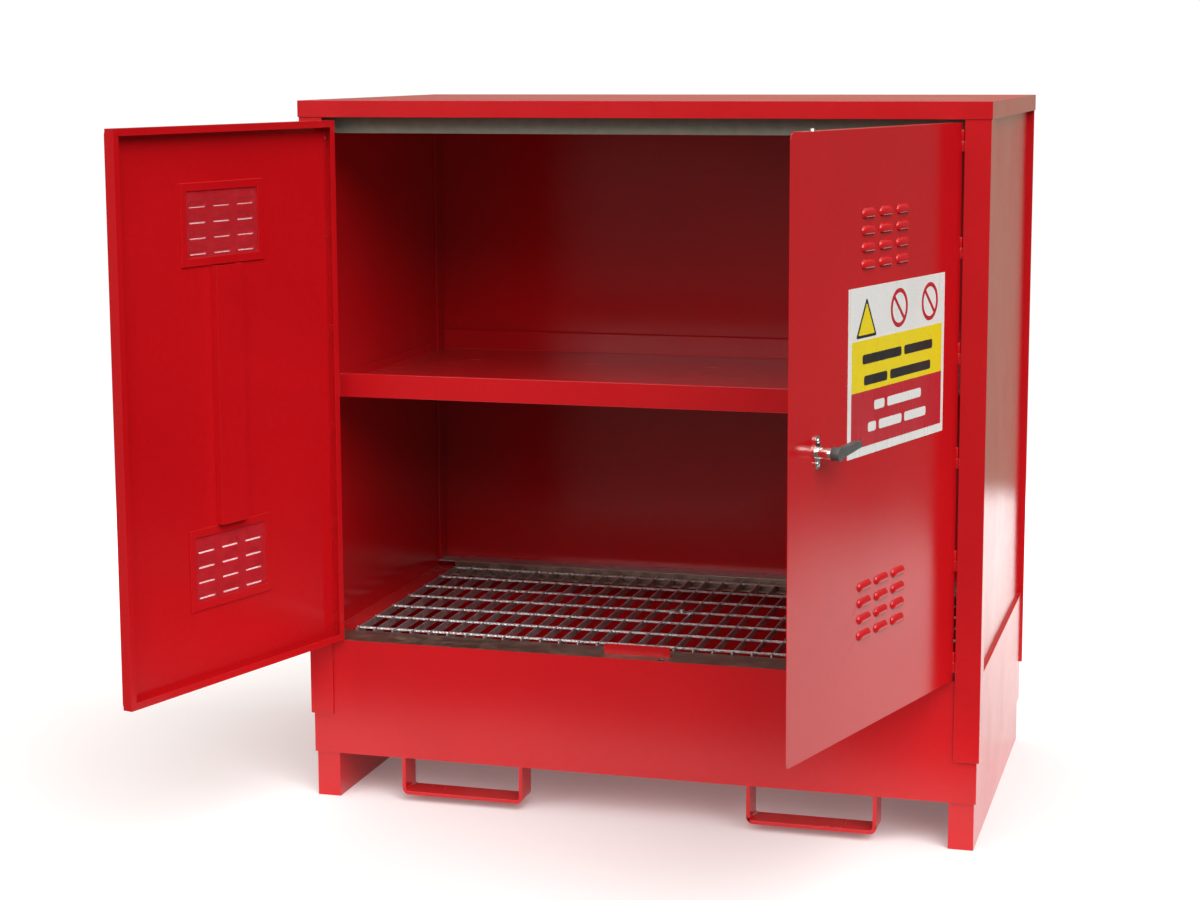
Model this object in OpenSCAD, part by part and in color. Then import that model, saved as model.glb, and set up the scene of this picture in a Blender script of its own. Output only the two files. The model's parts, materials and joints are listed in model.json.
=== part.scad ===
// Flammable-liquid storage cabinet with two louvred doors, a spill-tray shelf
// and a bunded sump base with fork loops.
// Each module measures X from the middle of the front, Y into the depth from the
// front faces of the corner posts and Z up from the floor. At the end all of it is
// placed with the middle of its outline, open doors included, over the origin.

/* [Cabinet] */
// Overall width over the corner posts
cab_w = 1400; // [1300:10:1500]
// Overall depth over the corner posts
cab_d = 820; // [780:10:900]
// Overall height over the lid
cab_h = 1461; // [1440:1:1500]
// Height of the lid's folded edge
lid_edge = 34; // [28:1:44]
// Lid overhang beyond the posts
lid_over = 2; // [1:1:4]
// Sheet thickness of panels and doors
sheet = 1.5; // [1.2:0.1:2]
// Leg length of the corner posts
post_leg = 50; // [46:1:54]
// Leg thickness of the corner posts
post_t = 5; // [4:1:6]
// Height of the corner posts' lower ends
post_z = 180; // [150:5:220]
// Inset of the side panels from the posts' outer faces
panel_inset = 12; // [10:1:14]

/* [Sump base] */
// Height of the sump's floor above the ground
sump_z = 95.5; // [85:0.5:110]
// Height of the sump's top edge
sump_top = 340; // [335:1:345]
// Sump wall thickness
sump_t = 3; // [2.5:0.5:4]
// Width of each runner
runner_w = 50; // [40:1:60]
// Runner inset from the posts' outer faces
runner_inset = 9; // [8:1:12]
// Fork loop centre distance from the middle
loop_x = 368; // [350:1:380]
// Outer width of a fork loop
loop_w = 264; // [240:2:280]
// Height of a fork loop's underside
loop_z = 17; // [12:1:24]
// Width of the fork loops' flat bar
loop_bar_w = 60; // [50:2:70]
// Thickness of the fork loops' flat bar
loop_bar_t = 8; // [6:1:10]

/* [Grating] */
// Spacing of the bearing bars
bar_pitch = 41; // [38:1:41]
// Thickness of a bearing bar
bar_t = 3; // [2:0.5:4]
// Depth of a bearing bar
bar_h = 16; // [14:1:27]
// Spacing of the cross rods
rod_pitch = 103; // [96:1:104]
// Cross rod radius
rod_r = 3; // [2:0.5:4]

/* [Shelf] */
// Height of the shelf's floor
shelf_z = 860; // [840:5:880]
// Height of the shelf's front lip
shelf_lip = 49; // [40:1:55]

/* [Doors] */
// Opening angle of the right door
right_open = 73.4; // [0:0.1:119]
// Opening angle of the left door
left_open = 105.7; // [0:0.1:119]
// Depth of the door pans
door_depth = 25; // [24:1:27]
// Width of the left door
left_w = 642; // [638:1:643]
// How far the right door laps over the left one
lap = 41; // [30:1:45]
// Number of hinges on each door
hinge_n = 6; // [4:1:7]
// Louvre columns in each vent
vent_cols = 3; // [2:1:3]
// Louvre rows in each vent
vent_rows = 4; // [2:1:4]

/* [Handle] */
// Reach of the lever from its spindle
lever_l = 78; // [60:1:90]
// Rise of the lever above level in the unlocked position
lever_rise = 5; // [0:1:8]
// Quarter travel of the handle from unlocked to locked
turn = 95; // [90:1:95]

/* [Hidden] */
$fn = 48;
place = [57, -83, 0];                  // from the front's middle to the outline's middle

hw = cab_w / 2;
panel_x = hw - panel_inset;            // outer face of a side panel
in_x = panel_x - sheet;                // inner face of a side panel
sump_x = hw - post_t;                  // outer face of the sump's side
sump_y = post_t;                       // outer face of the sump's front
back_y = cab_d - post_t;               // outer face of the back
mouth_x = hw - post_leg;               // inner edge of the front posts
lid_z = cab_h - lid_edge;              // lower edge of the lid's folded edge
lid_t = 2;                             // lid sheet
under_lid = cab_h - lid_t;             // underside of the lid
plate = 3;                             // ledges, bearers and rails
ledge_x = mouth_x - 7;                 // half width of the opening for the grating
stop_y = 40;                           // face of the strips that the doors close against

hinge_x = mouth_x - 4.5;
hinge_y = 5;
barrel_r = 4;
barrel_h = 20;
pin_r = 2.5;
run_gap = 0.05;                        // running clearance on a hinge pin
part_gap = 0.5;                        // end gap between hinge barrels
door_z0 = sump_top + 3;
door_z1 = lid_z - 6;
skin_y = hinge_y;                      // outer face of the closed right door
left_skin_y = hinge_y + 2.5;           // outer face of the closed left door
edge_x = 0.5;                          // door edge beyond its hinge axis
right_flange = hinge_x - 4.5;          // free flange of the right door, from its hinge
right_w = hinge_x * 2 - left_w + lap;
return_w = 12;                         // return lip of a door pan
corner_r = 12;

lock_s = 588.7;                        // lock line, measured from the hinge axis
lock_x = hinge_x - lock_s;
lock_y = skin_y + 13;
lock_z = 876.8;
cam_r = 12;                            // radius to the cam's drive pins
cam_pin_r = 3;
half_turn = turn / 2;
rod_travel = 2 * cam_r * sin(half_turn);
lock_rod_r = 5;
keeper_r = 7;                          // holes that the lock rods enter
guide_z = [400, 640, 1110, 1360];      // heights of the rod guides
neck_y = skin_y - 32;                  // outer end of the spindle's neck

vent_s = 328;                          // vent centre, measured from the hinge axis
vent_z = [562, 1227.5];
col_pitch = 69.5;
row_pitch = 29.8;
hood_r = 12;                           // louvre hood section radius
hood_l = 31;                           // louvre hood length between its round ends
hood_out = 6;                          // how far a hood stands out
hood_t = 1.2;
hood_cut = 5;                          // hood's open lower edge below its centre
slot_cut = 7;                          // slot's lower edge in the skin, below the centre
mesh_w = 208;
mesh_h = 127;
mesh_up = 6.5;                         // mesh centre above the louvres' centre
frame_rim = 16;
frame_t = 3;
stiff_w = 76;                          // width and depth of the channel between the vents
stiff_d = 16;
sign_s = [72, 472];                    // sign edges, measured from the hinge axis
sign_z = [845, 1145];
sign_t = 1;

ledge_y = 96;                          // rear edge of the front grating ledge
rear_ledge_y = 758;
rear_top = sump_top + 12;              // top of the rear ledge
seat_w = 30;                           // width of the grating's seats
grate_y0 = 99;
grate_y1 = 755;
grate_z = sump_top - bar_h + 3;        // underside of the grating
bars = 2 * floor((mouth_x - 12) / bar_pitch) + 2;
rods = floor((grate_y1 - grate_y0 - 20) / rod_pitch) + 1;

// Box between two corners
module slab(a, b) {
    translate(a)
        cube([b[0] - a[0], b[1] - a[1], b[2] - a[2]]);
}

// Upright cylinder with its axis on x, y
module post(x, y, z0, z1, r) {
    translate([x, y, z0])
        cylinder(h = z1 - z0, r = r);
}

// Cylinder along Y with its axis on x, z
module rod_y(x, z, y0, y1, r) {
    translate([x, y0, z])
        rotate([-90, 0, 0])
            cylinder(h = y1 - y0, r = r);
}

// Cylinder along X with its axis on y, z
module rod_x(y, z, x0, x1, r) {
    translate([x0, y, z])
        rotate([0, 90, 0])
            cylinder(h = x1 - x0, r = r);
}

// Profile drawn in X and Z, given thickness from y0 to y1
module upright(y0, y1) {
    translate([0, y1, 0])
        rotate([90, 0, 0])
            linear_extrude(height = y1 - y0)
                children();
}

// The closed right door's parts, swung to where the door stands
module on_right_door() {
    translate([hinge_x, hinge_y, 0])
        rotate([0, 0, right_open])
            translate([-hinge_x, -hinge_y, 0])
                children();
}

// The closed left door's parts, drawn as a right door and mirrored
module on_left_door() {
    mirror([1, 0, 0])
        translate([hinge_x, hinge_y, 0])
            rotate([0, 0, left_open])
                translate([-hinge_x, -hinge_y, 0])
                    children();
}

// ---- Sump base ----

module sump_tank() {
    color("firebrick") {
        difference() {
            slab([-sump_x, sump_y, sump_z], [sump_x, back_y, sump_top]);
            slab([-sump_x + sump_t, sump_y + sump_t, sump_z + sump_t],
                [sump_x - sump_t, back_y - sump_t, sump_top + 1]);
        }
        for (s = [0, 1])
            mirror([s, 0, 0])
                slab([ledge_x, ledge_y, sump_top - plate],
                    [sump_x - sump_t, rear_ledge_y, sump_top]);
    }
}

// Open-topped channel with closed ends, standing under the sump
module runner() {
    x1 = hw - runner_inset;
    x0 = x1 - runner_w;
    y0 = runner_inset;
    y1 = cab_d - runner_inset;
    color("firebrick")
        difference() {
            slab([x0, y0, 0], [x1, y1, sump_z]);
            slab([x0 + plate, y0 + plate, plate], [x1 - plate, y1 - plate, sump_z + 1]);
        }
}

module right_runner() {
    runner();
}

module left_runner() {
    mirror([1, 0, 0])
        runner();
}

// Rounded rectangle standing on its lower edge, open at the top when clipped
module round_frame(w, h, r) {
    translate([-w / 2 + r, r])
        circle(r = r);
    translate([w / 2 - r, r])
        circle(r = r);
    translate([-w / 2 + r, 0])
        square([w - 2 * r, h]);
    translate([-w / 2, r])
        square([w, h - r]);
}

module fork_loop(y0) {
    translate([loop_x, 0, loop_z])
        upright(y0, y0 + loop_bar_w)
            difference() {
                round_frame(loop_w, sump_z - loop_z, loop_bar_t + 6);
                translate([0, loop_bar_t])
                    round_frame(loop_w - 2 * loop_bar_t, sump_z, 6);
            }
}

module fork_loops() {
    color("firebrick") {
        fork_loop(sump_y);
        fork_loop(back_y - loop_bar_w);
    }
}

module right_fork_loops() {
    fork_loops();
}

module left_fork_loops() {
    mirror([1, 0, 0])
        fork_loops();
}

// Front ledge between the sump's wall and the grating; the lower lock rod
// enters it
module front_ledge() {
    color("dimgray")
        difference() {
            slab([-in_x, sump_y + sump_t, sump_top - plate], [in_x, ledge_y, sump_top]);
            post(lock_x, lock_y, sump_top - plate - 1, sump_top + 1, keeper_r);
        }
}

module rear_ledge() {
    color("dimgray")
        slab([-in_x, rear_ledge_y + plate, rear_top - plate], [in_x, back_y - sheet, rear_top]);
}

// Upright webs that join the ledges to the grating's seats
module ledge_webs() {
    color("dimgray") {
        slab([-ledge_x, ledge_y - plate, grate_z - plate], [ledge_x, ledge_y, sump_top - plate]);
        slab([-ledge_x, rear_ledge_y, grate_z - plate], [ledge_x, rear_ledge_y + plate, rear_top]);
    }
}

// Flanges that the ends of the grating's bars rest on
module grating_seats() {
    color("dimgray")
        for (y = [ledge_y, rear_ledge_y - seat_w])
            slab([-ledge_x, y, grate_z - plate], [ledge_x, y + seat_w, grate_z]);
}

module grating_bars() {
    color("silver")
        for (i = [0 : bars - 1])
            let (x = (i - (bars - 1) / 2) * bar_pitch)
                slab([x - bar_t / 2, grate_y0, grate_z],
                    [x + bar_t / 2, grate_y1, grate_z + bar_h]);
}

module grating_cross_rods() {
    seats = (bars - 1) / 2 * bar_pitch;
    span = seats + bar_t;
    color("gainsboro")
        for (i = [0 : rods - 1])
            let (y = grate_y0 + 20 + i * rod_pitch)
                difference() {
                    rod_x(y, grate_z + bar_h - rod_r + 1, -span, span, rod_r);
                    for (k = [0 : bars - 1])
                        let (x = k * bar_pitch - seats)
                            slab([x - bar_t / 2, y - 5, grate_z],
                                [x + bar_t / 2, y + 5, grate_z + bar_h]);
                }
}

// Saddle clip that holds the grating's bars together
module grating_clip() {
    x = 2;
    y = grate_y0 + 20 + 3 * rod_pitch - 14;
    z = grate_z + bar_h;
    color("darkgray") {
        slab([x - 26, y - 9, z], [x + 26, y + 9, z + 2]);
        for (s = [-1, 1])
            slab([x + s * 20 - 6, y - 9, z + 2], [x + s * 20 + 6, y + 9, z + 5]);
        post(x, y, z + 2, z + 8, 6);
    }
}

// ---- Body ----

module front_post() {
    color("firebrick") {
        slab([mouth_x, 0, post_z], [hw, post_t, under_lid]);
        slab([hw - post_t, post_t, post_z], [hw, post_leg, under_lid]);
    }
}

module right_front_post() {
    front_post();
}

module left_front_post() {
    mirror([1, 0, 0])
        front_post();
}

// Flat rear leg outside, side leg turned inside the cabinet
module rear_post() {
    color("firebrick") {
        slab([mouth_x, back_y, post_z], [hw, cab_d, under_lid]);
        slab([in_x - post_t, back_y - sheet - post_leg, sump_top + 12],
            [in_x, back_y - sheet, lid_z - 10]);
    }
}

module right_rear_post() {
    rear_post();
}

module left_rear_post() {
    mirror([1, 0, 0])
        rear_post();
}

module side_panel() {
    color("firebrick") {
        slab([in_x, post_t, sump_top], [panel_x, back_y, under_lid]);
        slab([panel_x, post_leg + 10, sump_top], [sump_x - sump_t - 1, back_y - 10, sump_top + 2]);
    }
}

module right_side_panel() {
    side_panel();
}

module left_side_panel() {
    mirror([1, 0, 0])
        side_panel();
}

module back_panel() {
    color("firebrick")
        slab([-in_x, back_y - sheet, sump_top], [in_x, back_y, under_lid]);
}

module roof_lid() {
    x = hw + lid_over;
    color("firebrick")
        difference() {
            slab([-x, -lid_over, lid_z], [x, cab_d + lid_over, cab_h]);
            slab([-x + lid_t, -lid_over + lid_t, lid_z - 1],
                [x - lid_t, cab_d + lid_over - lid_t, under_lid]);
        }
}

// Rail under the lid that the upper lock rod enters
module header_rail() {
    color("darkslategray")
        difference() {
            slab([-in_x, post_t, lid_z], [in_x, stop_y + plate, lid_z + plate]);
            post(lock_x, lock_y, lid_z - 1, lid_z + plate + 1, keeper_r);
        }
}

// Strip below the rail that the doors close against
module header_strip() {
    color("darkslategray")
        slab([-in_x, stop_y, lid_z - 33], [in_x, stop_y + plate, lid_z]);
}

module door_stop_tab() {
    color("firebrick") {
        slab([-69, stop_y, sump_top], [69, stop_y + plate, sump_top + 21]);
        slab([-69, stop_y + plate, sump_top], [69, stop_y + 20, sump_top + plate]);
    }
}

// ---- Shelf ----

module shelf_tray() {
    y0 = 32;
    y1 = back_y - 12;
    z0 = shelf_z - 9;
    x = in_x - 1;
    color("firebrick")
        difference() {
            union() {
                slab([-x, y0, shelf_z - 2], [x, y1, shelf_z]);
                slab([-x, y0, z0], [x, y0 + 2, z0 + shelf_lip]);
                slab([-x, y0 + 2, z0 + shelf_lip - 2], [x, y0 + 10, z0 + shelf_lip]);
                slab([-x, y1 - 2, shelf_z], [x, y1, shelf_z + 45]);
                for (s = [0, 1])
                    mirror([s, 0, 0])
                        slab([x - 2, y0 + 2, shelf_z], [x, y1 - 2, shelf_z + 20]);
            }
            for (i = [-2 : 2])
                slab([21 + i * 278 - 12, 605, shelf_z - 3], [21 + i * 278 + 12, 611, shelf_z + 1]);
            for (s = [0, 1])
                mirror([s, 0, 0])
                    slab([in_x - post_t - 1, back_y - sheet - post_leg - 1, shelf_z - 3],
                        [in_x + 1, y1 + 1, shelf_z + 50]);
        }
}

module shelf_bearer() {
    z = shelf_z - 2;
    color("firebrick") {
        slab([in_x - 30, 60, z - plate], [in_x, 755, z]);
        slab([in_x - plate, 60, z - 30], [in_x, 755, z - plate]);
    }
}

module right_shelf_bearer() {
    shelf_bearer();
}

module left_shelf_bearer() {
    mirror([1, 0, 0])
        shelf_bearer();
}

// ---- Hinges ----

// Height of hinge number i, measured at the gap between its barrels
function hinge_z(i) = door_z0 + 35 + i * (door_z1 - door_z0 - 69) / (hinge_n - 1);

module hinge_sockets() {
    color("firebrick")
        for (i = [0 : hinge_n - 1])
            let (z = hinge_z(i))
                difference() {
                    union() {
                        post(hinge_x, hinge_y, z - barrel_h, z, barrel_r);
                        slab([hinge_x + 1, 1.5, z - barrel_h], [mouth_x, post_t, z]);
                    }
                    post(hinge_x, hinge_y, z - barrel_h - 1, z + 1, pin_r);
                }
}

module hinge_pins() {
    color("gray")
        for (i = [0 : hinge_n - 1])
            post(hinge_x, hinge_y, hinge_z(i) - barrel_h, hinge_z(i) + barrel_h - 2, pin_r);
}

module right_hinge_sockets() {
    hinge_sockets();
}

module left_hinge_sockets() {
    mirror([1, 0, 0])
        hinge_sockets();
}

module right_hinge_pins() {
    hinge_pins();
}

module left_hinge_pins() {
    mirror([1, 0, 0])
        hinge_pins();
}

// Upper halves of the hinges with the plates that join them to the door's flange
module door_barrels() {
    x1 = hinge_x + edge_x - sheet;
    color("firebrick")
        for (i = [0 : hinge_n - 1])
            let (z = hinge_z(i) + part_gap)
                difference() {
                    union() {
                        post(hinge_x, hinge_y, z, z + barrel_h, barrel_r);
                        slab([x1 - 2, hinge_y, z], [x1, hinge_y + 18, z + barrel_h]);
                    }
                    post(hinge_x, hinge_y, z - 1, z + barrel_h + 1, pin_r + run_gap);
                }
}

// ---- Doors, drawn closed as a right-hand door ----

// Rounded louvre bump, long way across, from which its lower part is cut
module capsule(r, l) {
    rotate([0, 90, 0])
        translate([0, 0, -l / 2])
            cylinder(h = l, r = r);
    for (s = [-1, 1])
        translate([s * l / 2, 0, 0])
            sphere(r = r);
}

// Solid louvre hood in front of the skin face at y
module hood(y, r) {
    reach = hood_r - hood_out;
    intersection() {
        translate([0, y + reach, 0])
            capsule(r, hood_l);
        slab([-hood_l, y - hood_out - 2, -hood_cut], [hood_l, y + sheet, hood_r + 2]);
    }
}

// Hollow of a louvre, cut through the skin and out below the hood
module hood_core(y) {
    reach = hood_r - hood_out;
    intersection() {
        translate([0, y + reach, 0])
            capsule(hood_r - hood_t, hood_l);
        slab([-hood_l, y - hood_out - 2, -slot_cut], [hood_l, y + sheet + 1, hood_r]);
    }
}

module each_louvre() {
    for (z = vent_z)
        for (i = [0 : vent_cols - 1])
            for (k = [0 : vent_rows - 1])
                translate([hinge_x - vent_s + (i - (vent_cols - 1) / 2) * col_pitch, 0,
                    z + (k - (vent_rows - 1) / 2) * row_pitch])
                    children();
}

// Flat outer skin with the two free corners rounded
module skin(y, w) {
    x1 = hinge_x + edge_x;
    x0 = hinge_x - w;
    upright(y, y + sheet)
        union() {
            translate([x0 + corner_r, door_z0])
                square([x1 - x0 - corner_r, door_z1 - door_z0]);
            translate([x0, door_z0 + corner_r])
                square([corner_r, door_z1 - door_z0 - 2 * corner_r]);
            for (z = [door_z0 + corner_r, door_z1 - corner_r])
                translate([x0 + corner_r, z])
                    circle(r = corner_r);
        }
}

// Folded edges behind the skin, from the hinge edge to w
module pan_edges(y, w) {
    x1 = hinge_x + edge_x;
    x0 = hinge_x - w;
    y1 = hinge_y + door_depth;
    difference() {
        slab([x0, y + sheet, door_z0], [x1, y1, door_z1]);
        slab([x0 + sheet, y, door_z0 + sheet], [x1 - sheet, y1 - sheet, door_z1 - sheet]);
        slab([x0 + sheet + return_w, y, door_z0 + sheet + return_w],
            [x1 - sheet - return_w, y1 + 1, door_z1 - sheet - return_w]);
    }
}

// Pan with louvres; lock adds the holes for the handle's spindle and the rods
module door_pan(y, w, flange_w, lock) {
    difference() {
        union() {
            skin(y, w);
            pan_edges(y, flange_w);
            each_louvre()
                hood(y, hood_r);
        }
        each_louvre()
            hood_core(y);
        for (i = [0 : hinge_n - 1])
            slab([hinge_x - barrel_r - 0.6, hinge_y - 5, hinge_z(i) - barrel_h - 1],
                [hinge_x + 5, hinge_y + barrel_r + 0.6, hinge_z(i) + barrel_h + 1.5]);
        if (lock) {
            rod_y(lock_x, lock_z, y - 1, y + sheet + 1, 7);
            for (z = [door_z0, door_z1 - sheet])
                post(lock_x, lock_y, z - 1, z + sheet + 1, lock_rod_r + 0.5);
        }
    }
}

// Rectangle on the inside of the skin round each vent, larger than the mesh by
// rim all round and t thick
module vent_plates(y, rim, t) {
    x = hinge_x - vent_s;
    w = mesh_w / 2 + rim;
    h = mesh_h / 2 + rim;
    for (z = vent_z)
        slab([x - w, y + sheet, z + mesh_up - h], [x + w, y + sheet + t, z + mesh_up + h]);
}

module vent_frames(y) {
    difference() {
        vent_plates(y, frame_rim, frame_t);
        translate([0, -1, 0])
            vent_plates(y, 0, frame_t + 2);
    }
}

module vent_mesh(y) {
    vent_plates(y, 0, 0.8);
}

// Channel fixed to the inside of the skin between the vents
module stiffener(y) {
    x = hinge_x - vent_s;
    w = stiff_w / 2;
    reach = mesh_h / 2 + frame_rim + 1;
    z0 = vent_z[0] + mesh_up + reach;
    z1 = vent_z[1] + mesh_up - reach;
    difference() {
        slab([x - w, y + sheet, z0], [x + w, y + sheet + stiff_d, z1]);
        slab([x - w + sheet, y, z0 - 1], [x + w - sheet, y + stiff_d, z1 + 1]);
    }
}

module right_door_pan() {
    color("firebrick")
        on_right_door()
            door_pan(skin_y, right_w, right_flange, true);
}

module left_door_pan() {
    color("firebrick")
        on_left_door()
            door_pan(left_skin_y, left_w, left_w, false);
}

module right_door_barrels() {
    on_right_door()
        door_barrels();
}

module left_door_barrels() {
    on_left_door()
        door_barrels();
}

module right_door_stiffener() {
    color("firebrick")
        on_right_door()
            stiffener(skin_y);
}

module left_door_stiffener() {
    color("firebrick")
        on_left_door()
            stiffener(left_skin_y);
}

module right_vent_frames() {
    color("firebrick")
        on_right_door()
            vent_frames(skin_y);
}

module left_vent_frames() {
    color("firebrick")
        on_left_door()
            vent_frames(left_skin_y);
}

module right_vent_mesh() {
    color("rosybrown")
        on_right_door()
            vent_mesh(skin_y);
}

module left_vent_mesh() {
    color("rosybrown")
        on_left_door()
            vent_mesh(left_skin_y);
}

module warning_sign() {
    color("whitesmoke")
        on_right_door()
            slab([hinge_x - sign_s[1], skin_y - sign_t, sign_z[0]],
                [hinge_x - sign_s[0], skin_y, sign_z[1]]);
}

// ---- Lock ----

module rod_guides() {
    color("firebrick")
        on_right_door()
            for (z = guide_z)
                difference() {
                    slab([lock_x - 14, skin_y + sheet, z], [lock_x + 14, lock_y + 9, z + 3]);
                    post(lock_x, lock_y, z - 1, z + 4, lock_rod_r + 0.5);
                }
}

module handle_escutcheon() {
    color("silver")
        on_right_door()
            difference() {
                upright(skin_y - 3.5, skin_y)
                    translate([lock_x, lock_z]) {
                        circle(r = 15);
                        for (s = [-1, 1])
                            translate([0, s * 20])
                                circle(r = 9);
                        translate([-8, -20])
                            square([16, 40]);
                    }
                rod_y(lock_x, lock_z, skin_y - 5, skin_y + 1, 6 + run_gap);
            }
}

module escutcheon_screws() {
    color("silver")
        on_right_door()
            for (s = [-1, 1])
                intersection() {
                    translate([lock_x, skin_y - 1.5, lock_z + s * 20])
                        sphere(r = 5);
                    slab([lock_x - 6, skin_y - 7, lock_z + s * 20 - 6],
                        [lock_x + 6, skin_y - 3.5, lock_z + s * 20 + 6]);
                }
}

module handle_spindle() {
    color("silver")
        on_right_door() {
            rod_y(lock_x, lock_z, neck_y, skin_y - 3.8, 10);
            rod_y(lock_x, lock_z, skin_y - 3.8, skin_y + 4.5, 6);
        }
}

// Lever pointing to the hinge side, tapered to a rounded tip
module handle_lever() {
    tip_r = 6;
    root_r = 9.5;
    color("dimgray")
        on_right_door() {
            rod_y(lock_x, lock_z, neck_y - 16, neck_y, 12);
            translate([lock_x, 0, lock_z])
                rotate([0, -lever_rise, 0])
                    upright(neck_y - 14, neck_y - 3) {
                        polygon([[0, -root_r], [lever_l, -tip_r], [lever_l, tip_r], [0, root_r]]);
                        translate([lever_l, 0])
                            circle(r = tip_r);
                    }
        }
}

// Disc with two drive pins that work the rods' slotted plates
module lock_cam() {
    color("darkgray")
        on_right_door() {
            rod_y(lock_x, lock_z, skin_y + 4.5, skin_y + 7.5, 17);
            for (s = [-1, 1])
                rod_y(lock_x - s * cam_r * cos(half_turn), lock_z - s * cam_r * sin(half_turn),
                    skin_y + 7.5, skin_y + 14.5, cam_pin_r);
        }
}

// Round rod with a cranked, slotted plate at its inner end
module lock_rod(length) {
    slot_z = -cam_r * sin(half_turn);
    color("darkgray") {
        post(0, lock_y, 22, length, lock_rod_r);
        upright(skin_y + 9.5, skin_y + 12.5)
            difference() {
                union() {
                    translate([-20, slot_z - 7.6])
                        square([17.5, 34 - slot_z + 7.6]);
                    translate([-20, 24])
                        square([23, 10]);
                }
                translate([-15.5, slot_z - 3.8])
                    square([10.9, 7.6]);
            }
    }
}

module upper_lock_rod() {
    on_right_door()
        translate([lock_x, 0, lock_z])
            lock_rod(door_z1 + 4 - lock_z);
}

module lower_lock_rod() {
    on_right_door()
        translate([lock_x, 0, lock_z])
            mirror([1, 0, 0])
                mirror([0, 0, 1])
                    lock_rod(lock_z - door_z0 + 0.6);
}

translate(place) {
    sump_tank();
    left_runner();
    right_runner();
    left_fork_loops();
    right_fork_loops();
    front_ledge();
    rear_ledge();
    ledge_webs();
    grating_seats();
    left_front_post();
    right_front_post();
    left_rear_post();
    right_rear_post();
    left_side_panel();
    right_side_panel();
    back_panel();
    roof_lid();
    header_rail();
    header_strip();
    door_stop_tab();
    shelf_tray();
    left_shelf_bearer();
    right_shelf_bearer();
    left_hinge_sockets();
    right_hinge_sockets();
    left_hinge_pins();
    right_hinge_pins();
    grating_bars();
    grating_cross_rods();
    grating_clip();
    left_door_pan();
    left_door_barrels();
    left_door_stiffener();
    left_vent_frames();
    left_vent_mesh();
    right_door_pan();
    right_door_barrels();
    right_door_stiffener();
    right_vent_frames();
    right_vent_mesh();
    warning_sign();
    rod_guides();
    handle_escutcheon();
    escutcheon_screws();
    handle_spindle();
    handle_lever();
    lock_cam();
    upper_lock_rod();
    lower_lock_rod();
}
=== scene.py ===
import json
import math
import random

import bmesh
import bpy
from mathutils import Matrix, Vector


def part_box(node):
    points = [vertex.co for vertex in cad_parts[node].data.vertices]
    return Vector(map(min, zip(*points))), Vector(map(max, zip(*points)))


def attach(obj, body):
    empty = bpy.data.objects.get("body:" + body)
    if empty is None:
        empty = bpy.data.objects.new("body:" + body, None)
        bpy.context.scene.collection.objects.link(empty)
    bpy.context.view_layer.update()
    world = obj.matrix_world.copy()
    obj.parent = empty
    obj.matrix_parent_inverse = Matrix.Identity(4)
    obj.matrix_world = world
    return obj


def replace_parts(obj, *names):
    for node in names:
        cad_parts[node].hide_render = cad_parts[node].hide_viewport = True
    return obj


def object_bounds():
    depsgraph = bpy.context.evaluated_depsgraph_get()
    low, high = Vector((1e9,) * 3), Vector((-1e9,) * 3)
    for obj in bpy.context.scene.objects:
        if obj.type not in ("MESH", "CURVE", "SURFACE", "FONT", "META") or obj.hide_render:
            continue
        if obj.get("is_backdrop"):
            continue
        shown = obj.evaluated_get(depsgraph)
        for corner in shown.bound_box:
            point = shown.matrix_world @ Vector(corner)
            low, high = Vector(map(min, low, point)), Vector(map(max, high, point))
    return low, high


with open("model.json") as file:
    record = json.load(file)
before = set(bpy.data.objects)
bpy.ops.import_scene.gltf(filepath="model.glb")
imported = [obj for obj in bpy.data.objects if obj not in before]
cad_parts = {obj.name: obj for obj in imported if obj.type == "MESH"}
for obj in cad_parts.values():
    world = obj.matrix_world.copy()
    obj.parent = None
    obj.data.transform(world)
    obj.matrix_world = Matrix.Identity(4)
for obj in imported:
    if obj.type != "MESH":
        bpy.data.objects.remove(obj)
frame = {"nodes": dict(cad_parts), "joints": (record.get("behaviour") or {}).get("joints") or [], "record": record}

for spare in ("Cube", "Light", "Camera"):
    if spare in bpy.data.objects:
        bpy.data.objects.remove(bpy.data.objects[spare])
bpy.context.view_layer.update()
NODES = frame["nodes"]
JOINTS = {joint["name"]: joint for joint in frame["joints"]}
MM = 0.001

# The cabinet's own origin: middle of the lid in X, front face of the posts in Y.
LID_LO, LID_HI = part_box("roof_lid")
POST_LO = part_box("right_front_post")[0]
MID = Vector(((LID_LO.x + LID_HI.x) / 2, POST_LO.y, 0.0))


# ---- Materials ----

def plug(tree, socket, value):
    """Gives an input a value or links another node's output to it."""
    if isinstance(value, bpy.types.NodeSocket):
        tree.links.new(value, socket)
    else:
        socket.default_value = value


def add_node(tree, kind, inputs=None, **settings):
    """Adds a shader node with its inputs, by name or number, and its settings."""
    node = tree.nodes.new("ShaderNode" + kind)
    for key, value in settings.items():
        setattr(node, key, value)
    for key, value in (inputs or {}).items():
        plug(tree, node.inputs[key], value)
    return node


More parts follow.
